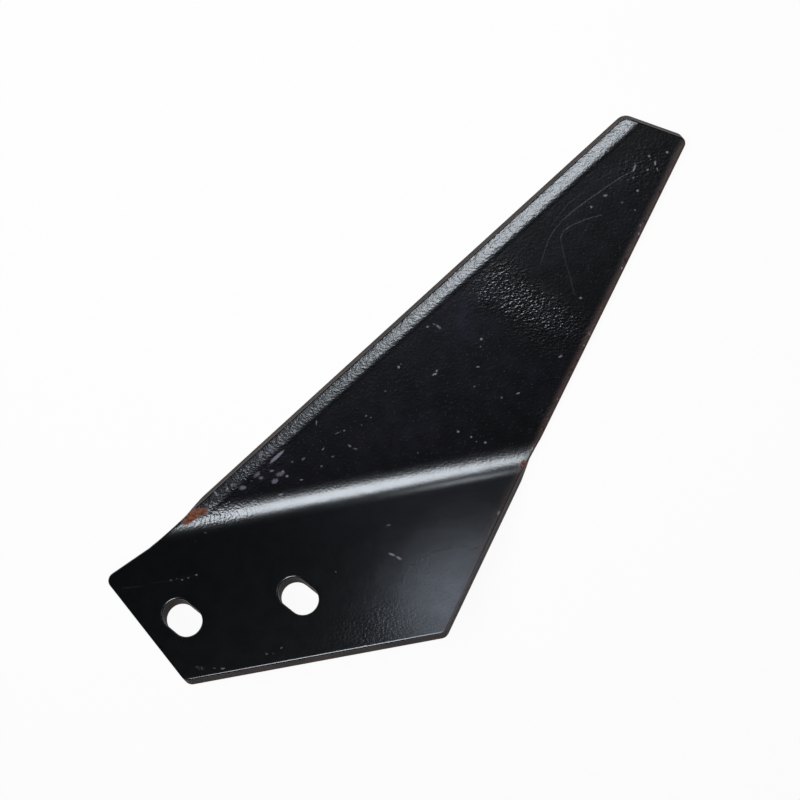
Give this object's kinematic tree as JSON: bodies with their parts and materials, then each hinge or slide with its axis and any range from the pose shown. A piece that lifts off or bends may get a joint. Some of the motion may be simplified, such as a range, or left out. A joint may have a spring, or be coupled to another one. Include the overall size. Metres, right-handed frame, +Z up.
{
  "type": "share blade",
  "caption": "Folded steel plate share: a long tapering blade with a bevelled cutting edge and a raised bolting flange with slotted holes.",
  "frame": {"origin": "centre of the footprint, on the plane of the blade's underside", "axes": "+X along the fold line towards the blade's back edge, +Y from the fold across the blade to its tip, +Z up, away from the blade's underside"},
  "size_m": [0.276, 0.1928, 0.0574],
  "materials": {
    "black_paint": "semi-gloss black paint with scratches and rust at the fold ends"
  },
  "bodies": {
    "root": {"share_blade": "black_paint"}
  },
  "joints": []
}
